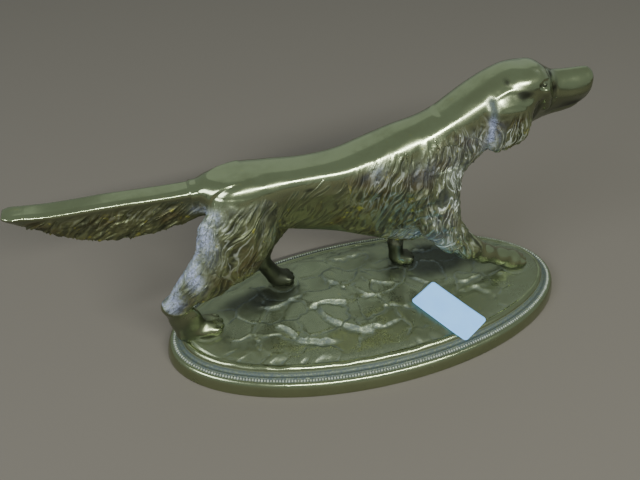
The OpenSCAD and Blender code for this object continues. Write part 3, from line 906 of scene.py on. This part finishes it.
def make_beads():
    """Row of fine beads round the plinth's edge."""
    rng = np.random.default_rng(SEED + 2)
    fine = np.linspace(0, 2 * math.pi, 4000)
    fx, fy = oval_point(fine, BEAD_INSET)
    run = np.concatenate([[0], np.cumsum(np.hypot(np.diff(fx), np.diff(fy)))])
    turns = np.interp(np.arange(BEADS) / BEADS * run[-1], run, fine)
    sides, rings = 8, 4
    leans = [math.pi / 2 * k / rings for k in range(rings)]
    spins = [2 * math.pi * j / sides for j in range(sides)]
    bead = [[math.cos(lean) * math.cos(spin), math.cos(lean) * math.sin(spin), math.sin(lean)]
            for lean in leans for spin in spins] + [[0, 0, 1]]
    faces = []
    for k in range(rings - 1):
        for j in range(sides):
            a, b = k * sides + j, k * sides + (j + 1) % sides
            faces += [[a, b, b + sides], [a, b + sides, a + sides]]
    last = (rings - 1) * sides
    faces += [[last + j, last + (j + 1) % sides, len(bead) - 1] for j in range(sides)]
    faces += [[0, j + 1, j] for j in range(1, sides - 1)]
    bead, faces = np.array(bead), np.array(faces)
    points, all_faces = [], []
    for k, turn in enumerate(turns):
        cx, cy = oval_point(turn, BEAD_INSET)
        away = np.array([math.cos(turn) / PLINTH_A, math.sin(turn) / PLINTH_B])
        away /= np.hypot(*away)
        size = rng.uniform(0.85, 1.08)
        out, on, up = (bead[:, k:k + 1] * half * size for k, half in enumerate(BEAD_HALVES))
        flat = out * away + on * np.array([-away[1], away[0]]) + [cx, cy]
        points.append(np.hstack([flat, up + BEAD_Z]))
        all_faces.append(faces + k * len(bead))
    piece = mesh_from("bead_row", np.concatenate(points), np.concatenate(all_faces))
    count = len(piece.data.vertices)
    for name, value in (("residue", 0.9), ("painted_highlight", 0.55), ("rubbed_and_lit", 1.0)):
        paint(piece, name, np.full(count, value))
    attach(piece, "root")
    return piece


def make_label():
    """Blank paper label over the ground, with its corners lifting a little."""
    corners = np.array([v.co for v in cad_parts["label"].data.vertices]) / MM
    middle = corners.mean(axis=0)
    spread = corners[:, :2] - middle[:2]
    axes = np.linalg.eigh(spread.T @ spread)[1]
    long_way, short_way = axes[:, 1], axes[:, 0]
    along, across = spread @ long_way, spread @ short_way
    half_l, half_w = np.ptp(along) / 2, np.ptp(across) / 2
    middle[:2] += (along.min() + half_l) * long_way + (across.min() + half_w) * short_way
    u, v, quads, border = flat_grid(half_l, half_w, *LABEL_GRID)
    inner_l, inner_w = half_l - LABEL_CORNER, half_w - LABEL_CORNER
    over_u, over_v = np.abs(u) - inner_l, np.abs(v) - inner_w
    in_corner = (over_u > 0) & (over_v > 0)
    pull = np.maximum(over_u, over_v) / np.maximum(np.hypot(over_u, over_v), 1e-6)
    u = np.where(in_corner, np.sign(u) * (inner_l + over_u * pull), u).ravel()
    v = np.where(in_corner, np.sign(v) * (inner_w + over_v * pull), v).ravel()
    x = middle[0] + u * long_way[0] + v * short_way[0]
    y = middle[1] + u * long_way[1] + v * short_way[1]
    plane = np.linalg.lstsq(np.column_stack([corners[:, :2], np.ones(len(corners))]),
                            corners[:, 2], rcond=None)[0]
    z = plane[0] * x + plane[1] * y + plane[2]
    lift = 0.35 * (np.abs(u) / half_l)**3 * (np.abs(v) / half_w)**3
    z = z + lift + 0.12 * noise(x, y, 0, 9.0, 51) + LABEL_GAP
    top = np.stack([x, y, z + LABEL_HALF], axis=1)
    under = np.stack([x, y, z - LABEL_HALF], axis=1)
    if long_way[0] * short_way[1] - long_way[1] * short_way[0] < 0:
        quads, border = quads[:, ::-1], border[::-1]
    ahead = np.roll(border, -1)
    n = len(top)
    rim = np.stack([border, border + n, ahead + n, ahead], axis=1)
    piece = mesh_from("label_sheet", np.concatenate([top, under]),
                      np.concatenate([quads, quads[:, ::-1] + n, rim]))
    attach(piece, "root")
    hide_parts("label")
    return piece


# ---------- materials ----------

class Nodes:
    """Short calls for building a material's node tree."""

    def __init__(self, name):
        self.material = bpy.data.materials.new(name)
        self.material.use_nodes = True
        self.tree = self.material.node_tree
        self.shader = self.tree.nodes["Principled BSDF"]
        self.place = self.tree.nodes.new("ShaderNodeTexCoord").outputs["Object"]

    def node(self, kind, inputs, **settings):
        """Outputs of a new node with these settings and with its inputs linked or set."""
        node = self.tree.nodes.new("ShaderNode" + kind)
        for name, value in settings.items():
            setattr(node, name, value)
        for socket, source in inputs.items():
            self.link(source, node.inputs[socket])
        return node.outputs

    def link(self, source, socket):
        if isinstance(source, (int, float, tuple)):
            socket.default_value = source
        else:
            self.tree.links.new(source, socket)

    def skin(self, name, source):
        """Links a value to one of the shader's inputs."""
        self.link(source, self.shader.inputs[name])

    def attribute(self, name, output="Fac"):
        return self.node("Attribute", {}, attribute_name=name)[output]

    def noise_at(self, place, stretch, inputs):
        """Noise read at a place that is stretched first."""
        place = self.node("Mapping", {"Scale": stretch, "Vector": place})["Vector"]
        return self.node("TexNoise", {**inputs, "Vector": place})["Fac"]

    def noise(self, size_mm, detail=3.0, roughness=0.55, stretch=(1, 1, 1), warp=0.0):
        """Noise with features about size_mm across."""
        return self.noise_at(self.place, stretch, {"Scale": 1000.0 / size_mm, "Detail": detail,
                                                   "Roughness": roughness, "Distortion": warp})

    def strands(self):
        """Distance from the crests of fine strands along the hair's flow: 0 on a crest."""
        across_mm, along_mm = 2.7, 16.0
        crests = self.noise_at(self.attribute("flow", "Vector"), (1 / across_mm, 1 / along_mm, 1.0),
                               {"Scale": 1.0, "Detail": 1.5})
        return self.math("ABSOLUTE", self.less(crests, 0.5))

    def ramp(self, value, low, high):
        """0 below low, 1 above high, smooth between."""
        return self.node("MapRange", {"From Min": low, "From Max": high, "Value": value},
                         interpolation_type="SMOOTHSTEP")["Result"]

    def math(self, operation, a, b=0.0):
        return self.node("Math", {0: a, 1: b}, operation=operation)[0]

    def times(self, a, b):
        return self.math("MULTIPLY", a, b)

    def plus(self, a, b):
        return self.math("ADD", a, b)

    def less(self, a, b):
        return self.math("SUBTRACT", a, b)

    def most(self, a, b):
        return self.math("MAXIMUM", a, b)

    def mix(self, amount, a, b):
        """Mix of two colours."""
        return self.node("Mix", {0: amount, 6: a, 7: b}, data_type="RGBA")[2]

    def blend(self, amount, a, b):
        """Mix of two numbers."""
        return self.node("Mix", {0: amount, 2: a, 3: b}, data_type="FLOAT")[0]

    def bump(self, height, depth_mm, strength=1.0, under=None):
        """Normal bent by a height, on top of another bump."""
        inputs = {"Strength": strength, "Distance": depth_mm * MM, "Height": height}
        return self.node("Bump", inputs if under is None else {**inputs, "Normal": under})["Normal"]


# The brass's colours, and those of what lies on it.
POLISHED = (0.38, 0.43, 0.25, 1)
DULL = (0.26, 0.29, 0.16, 1)
HIGHLIGHT_SILVER = (0.66, 0.70, 0.64, 1)
PATINA_AND_SHADE = (0.16, 0.18, 0.12, 1)
OLIVE = (0.20, 0.205, 0.10, 1)
DARK = (0.04, 0.042, 0.032, 1)
BROWN = (0.15, 0.10, 0.04, 1)
YELLOW = (0.60, 0.57, 0.10, 1)
LILAC = (0.38, 0.42, 0.60, 1)
GREY = (0.08, 0.105, 0.105, 1)
ZINC = (0.42, 0.42, 0.43, 1)
DULL_ZINC = (0.28, 0.27, 0.25, 1)
PAPER_PAINTED_GLOW = 0.62    # painted glow that lightens the label


def brass_material():
    """Old brass: polished where worn, dark in its hollows, with painted shade and highlights, grey
    where polish is left.
    """
    n = Nodes("aged_brass")
    hollow_and_shade, hair, residue = n.attribute("hollow_and_shade"), n.attribute("hair"), n.attribute("residue")
    rubbed_and_lit, painted_highlight = n.attribute("rubbed_and_lit"), n.attribute("painted_highlight")
    cloud = n.noise(38, 4, 0.6)
    blotch = n.noise(9, 5, 0.62, warp=0.4)
    grain = n.noise(0.7, 3, 0.6)
    speck = n.noise(2.2, 4, 0.6)
    off_crest = n.strands()
    # painted highlights: light lines along the crests of the hair's fine strands
    crest = n.times(n.ramp(off_crest, 0.035, 0.01), n.times(hair, painted_highlight))
    valley = n.times(n.ramp(off_crest, 0.06, 0.16), hair)
    tone = n.ramp(n.plus(cloud, n.times(blotch, 0.5)), 0.6, 0.95)
    colour = n.mix(n.times(tone, 0.55), POLISHED, DULL)
    # less polished surfaces, and painted shade on surfaces facing down, take the patina colour
    unrubbed_and_shaded = n.less(1.0, rubbed_and_lit)
    colour = n.mix(n.times(unrubbed_and_shaded, 0.8), colour, n.mix(hair, PATINA_AND_SHADE, OLIVE))
    brown = n.times(hair, n.ramp(n.noise(17, 3, 0.5), 0.5, 0.68))
    colour = n.mix(n.times(brown, 0.6), colour, BROWN)
    worn = n.plus(n.noise(5.5, 4, 0.6), n.times(n.times(unrubbed_and_shaded, hair), 0.05))
    yellow = n.times(n.ramp(worn, 0.64, 0.72), n.ramp(hollow_and_shade, 0.5, 0.1))
    colour = n.mix(n.times(yellow, n.blend(hair, 0.1, 0.7)), colour, YELLOW)
    # darkening in the hollows and hair valleys, together with the painted shade the attribute
    # carries
    dirt_and_shade = n.most(n.ramp(hollow_and_shade, 0.15, 0.95), n.times(n.ramp(speck, 0.72, 0.8), 0.5))
    dirt_and_shade = n.most(dirt_and_shade, n.times(valley, 0.7))
    colour = n.mix(n.times(dirt_and_shade, 0.9), colour, DARK)
    left = n.ramp(n.plus(grain, n.times(speck, 0.6)), 0.66, 0.9)
    left = n.times(residue, n.blend(left, 0.4, 1.0))
    colour = n.mix(left, colour, n.mix(hair, n.mix(painted_highlight, GREY, HIGHLIGHT_SILVER), LILAC))
    colour = n.mix(n.times(crest, 0.85), colour, HIGHLIGHT_SILVER)
    n.skin("Base Color", colour)
    dull = n.most(n.times(left, 0.9), n.times(crest, 0.6))
    n.skin("Metallic", n.less(1.0, dull))
    rough = n.blend(hair, n.blend(tone, 0.13, 0.24), 0.34)
    rough = n.plus(rough, n.times(dirt_and_shade, 0.2))
    rough = n.plus(rough, n.times(unrubbed_and_shaded, 0.12))
    rough = n.plus(rough, n.times(n.less(blotch, 0.5), 0.15))
    n.skin("Roughness", n.blend(left, rough, 0.7))
    dents = n.bump(n.noise(6, 3, 0.5), 0.15, 0.3)
    rub = n.bump(n.noise(1.4, 3, 0.6, stretch=(0.25, 1, 1)), 0.04, 0.35, dents)
    combed = n.bump(n.less(crest, n.times(valley, 0.7)), 0.5, 0.8, rub)
    coarse = n.times(grain, n.plus(n.times(hair, 0.15), residue))
    n.skin("Normal", n.bump(coarse, 0.4, 0.7, combed))
    return n.material


def steel_material():
    """Dull zinc plating."""
    n = Nodes("zinc_steel")
    cloud = n.noise(4, 4, 0.6)
    n.skin("Base Color", n.mix(n.ramp(cloud, 0.4, 0.7), ZINC, DULL_ZINC))
    n.skin("Metallic", 1.0)
    n.skin("Roughness", n.blend(cloud, 0.3, 0.55))
    n.skin("Normal", n.bump(n.noise(0.5, 2, 0.5, stretch=(1, 1, 0.2)), 0.05, 0.5))
    return n.material


def paper_material():
    """White paper with a bluish whitener and a painted glow."""
    n = Nodes("label_paper")
    fibre = n.noise(0.8, 4, 0.7)
    cloud = n.noise(12, 3, 0.5)
    colour = n.mix(n.ramp(cloud, 0.35, 0.75), (0.25, 0.56, 1.0, 1), (0.22, 0.51, 0.97, 1))
    n.skin("Base Color", colour)
    # painted glow: the label shines though it is no lamp
    n.skin("Emission Color", colour)
    n.skin("Emission Strength", PAPER_PAINTED_GLOW)
    n.skin("Roughness", n.blend(fibre, 0.45, 0.7))
    n.skin("Normal", n.bump(fibre, 0.04, 0.5))
    return n.material


castings = sculpt_dog()
plinth = make_plinth()
beads = make_beads()
label = make_label()

brass = brass_material()
steel = steel_material()
for piece in castings + [plinth, beads]:
    piece.data.materials.append(brass)
label.data.materials.append(paper_material())
STEEL_NODES = ("paw_studs", "paw_washers", "paw_nuts", "neck_dowel", "tail_dowel",
               "shoulder_dowels", "hip_dowels")
for names, material in ((STEEL_NODES, steel), (("front_hood_boss", "rear_hood_boss"), brass)):
    for name in names:
        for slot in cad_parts[name].material_slots:
            slot.material = material

# ---------- floor, lights and camera ----------

bpy.ops.mesh.primitive_plane_add(size=6.0)
floor = bpy.context.object
floor.name = "floor"
floor_mat = bpy.data.materials.new("floor")
floor_mat.use_nodes = True
floor_shader = floor_mat.node_tree.nodes["Principled BSDF"]
floor_shader.inputs["Base Color"].default_value = (0.18, 0.158, 0.13, 1)
floor_shader.inputs["Roughness"].default_value = 0.8
floor.data.materials.append(floor_mat)

world = bpy.data.worlds.new("studio")
bpy.context.scene.world = world
world.use_nodes = True
sky = world.node_tree.nodes["Background"]
sky.inputs["Color"].default_value = (0.8, 0.9, 0.88, 1)
sky.inputs["Strength"].default_value = 0.36


def softbox(name, at, size, power, colour):
    """Rectangular light aimed at the dog."""
    light = bpy.data.lights.new(name, "AREA")
    light.shape = "RECTANGLE"
    light.size, light.size_y = size
    light.energy = power
    light.color = colour
    lamp = bpy.data.objects.new(name, light)
    bpy.context.scene.collection.objects.link(lamp)
    lamp.location = at
    lamp.rotation_euler = (Vector((0, 0, 0.08)) - Vector(at)).to_track_quat("-Z", "Y").to_euler()


softbox("overhead", (0.15, -1.08, 0.88), (1.2, 0.09), 19, (0.95, 1.0, 0.97))
softbox("far_window", (0.5, 1.3, 1.0), (1.8, 1.0), 1.0, (0.88, 1.0, 0.98))
softbox("left_window", (-1.1, -0.5, 0.9), (0.6, 0.5), 9, (0.86, 0.92, 1.0))

camera = bpy.data.cameras.new("camera")
camera.lens = 33.75
camera.sensor_width = 36.0
camera.clip_start = 0.01
viewer = bpy.data.objects.new("camera", camera)
bpy.context.scene.collection.objects.link(viewer)
viewer.location = (-0.10189, -0.22589, 0.26847)
aim = Vector((-0.01064, 0.06915, 0.0)) - viewer.location
roll = Matrix.Rotation(math.radians(0.42), 3, "Z")
viewer.rotation_euler = (aim.to_track_quat("-Z", "Y").to_matrix() @ roll).to_euler()
bpy.context.scene.camera = viewer
